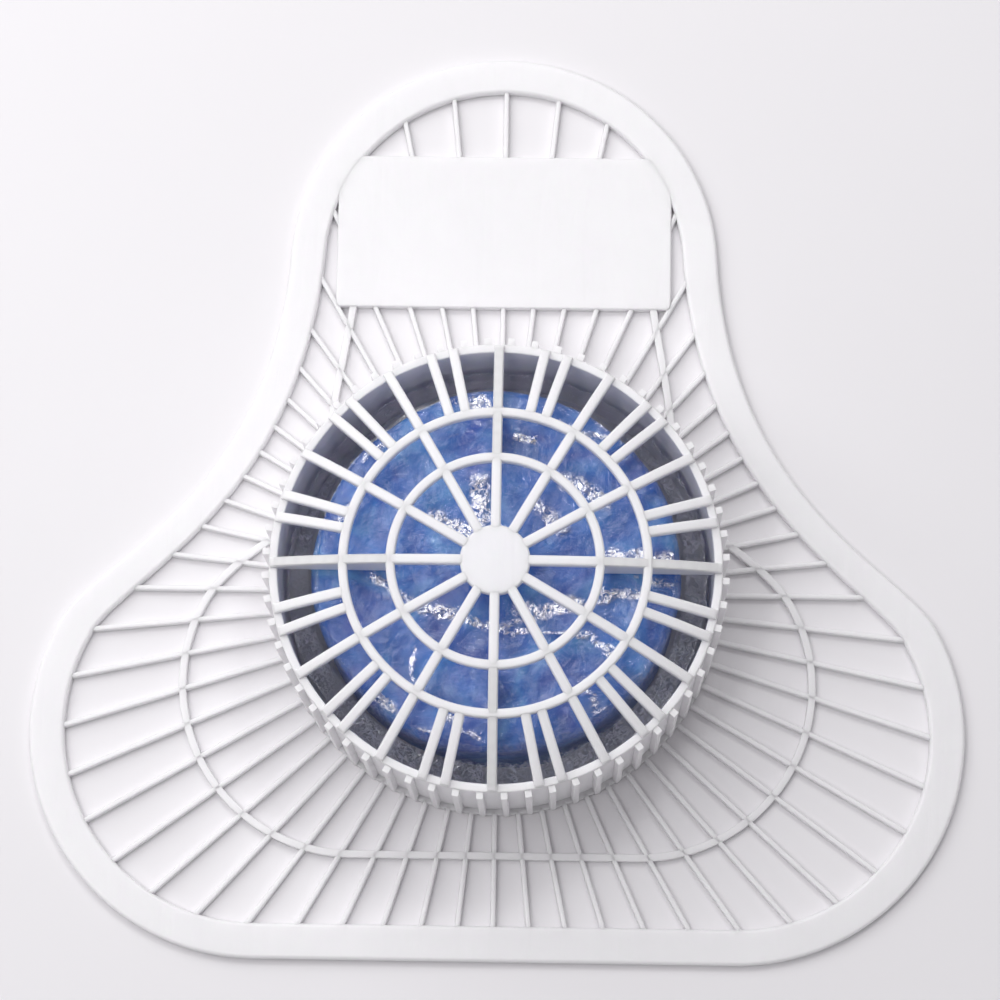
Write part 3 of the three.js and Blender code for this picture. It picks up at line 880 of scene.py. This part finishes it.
def distance_to(point, line):
    best = BLOCK_RADIUS
    for start, end in zip(line, line[1:]):
        a, b = Vector(start), Vector(end)
        share = max(0.0, min(1.0, (point - a).dot(b - a) / (b - a).length_squared))
        best = min(best, (point - a.lerp(b, share)).length)
    return best

def crease_at(place):
    wobble = Vector((noise.noise(place * 0.5), noise.noise(place * 0.5 + Vector((9, 0, 0))))) * 0.9
    point = place.xy + wobble
    strongest = 0.0
    for line, half_width, strength in CREASES:
        near = max(0.0, 1.0 - distance_to(point, line) / half_width)
        strongest = max(strongest, strength * min(1.0, near * 1.8))
    return strongest

# %% Film
CRINKLE_DEPTH = 0.42
PLEAT_DEPTH = 0.5
PLEAT_FINENESS = 9
PLEAT_LEAN = 0.02
FILM_EDGE = 1.8
FILM_RINGS = 96
FILM_STEPS = 300
SIDE_HAZE = 0.1
FILM_THICKNESS = 0.05
SKIRT_TOP = 20.5
SKIRT_START = 1.2
SKIRT_HAZE = 0.55

def ridged(place, scale, power):
    value = 1 - abs(noise.noise(place * scale))
    return value ** power

def film_section():
    flat = BLOCK_RADIUS - 1.6
    top_line = [(flat * i / FILM_RINGS, FILM_TOP) for i in range(FILM_RINGS)]
    corner_arc = arc_points((flat, FILM_TOP - FILM_EDGE), FILM_EDGE, 10, 90, 5)
    corner = [(p.x, p.y) for p in reversed(corner_arc)]
    side = [(BLOCK_RADIUS + 0.5 + 0.1 * i, FILM_TOP - 2 - i) for i in range(1, 7)]
    skirt = [(BLOCK_RADIUS + 1.4 + 0.8 * i, SKIRT_TOP - 0.5 * i) for i in range(6)]
    return top_line + corner + side + skirt

def make_film():
    bm = bmesh.new()
    turned(bm, film_section(), FILM_STEPS, closed=False)
    layer = bm.verts.layers.float.new("crease")
    for vert in bm.verts:
        place = vert.co.copy()
        outward = Vector((place.x, place.y, 0))
        radius = outward.length
        angle = math.atan2(place.y, place.x)
        if place.z > FILM_TOP - 0.01:
            crinkle = ridged(place, 0.16, 6) + 0.5 * ridged(place + Vector((40, 0, 0)), 0.42, 5)
            crease = crease_at(place)
            vert[layer] = crease
            height = max(min(1.0, crinkle / 1.3), crease * (0.6 + 0.4 * noise.noise(place * 1.3)))
            vert.co.z -= CRINKLE_DEPTH * (1 - height)
        else:
            around = Vector((math.cos(angle) * PLEAT_FINENESS, math.sin(angle) * PLEAT_FINENESS,
                             place.z * PLEAT_LEAN))
            pleat = ridged(around, 1.0, 4)
            in_skirt = radius > BLOCK_RADIUS + SKIRT_START
            vert[layer] = SKIRT_HAZE * (0.4 + 0.6 * pleat) if in_skirt else SIDE_HAZE
            vert.co -= outward.normalized() * PLEAT_DEPTH * (1 - pleat)
    return bm

film = finish_piece(make_film(), "film", clear_film, "film_wrapper")
thickness = film.modifiers.new("thickness", "SOLIDIFY")
thickness.thickness = FILM_THICKNESS * MM
thickness.offset = -1

# %% [markdown]
# ## Table
# The table is only a stage: it catches the shadow and isn't part of the object.

# %% Table
table_mesh = bmesh.new()
bmesh.ops.create_grid(table_mesh, x_segments=8, y_segments=8, size=2.5)
floor_mesh = bpy.data.meshes.new("table")
table_mesh.to_mesh(floor_mesh)
table_mesh.free()
floor_mesh.materials.append(table_top)
table = bpy.data.objects.new("table", floor_mesh)
floor_mesh.transform(Matrix.Translation((0, 0, -0.0001)))
bpy.context.scene.collection.objects.link(table)
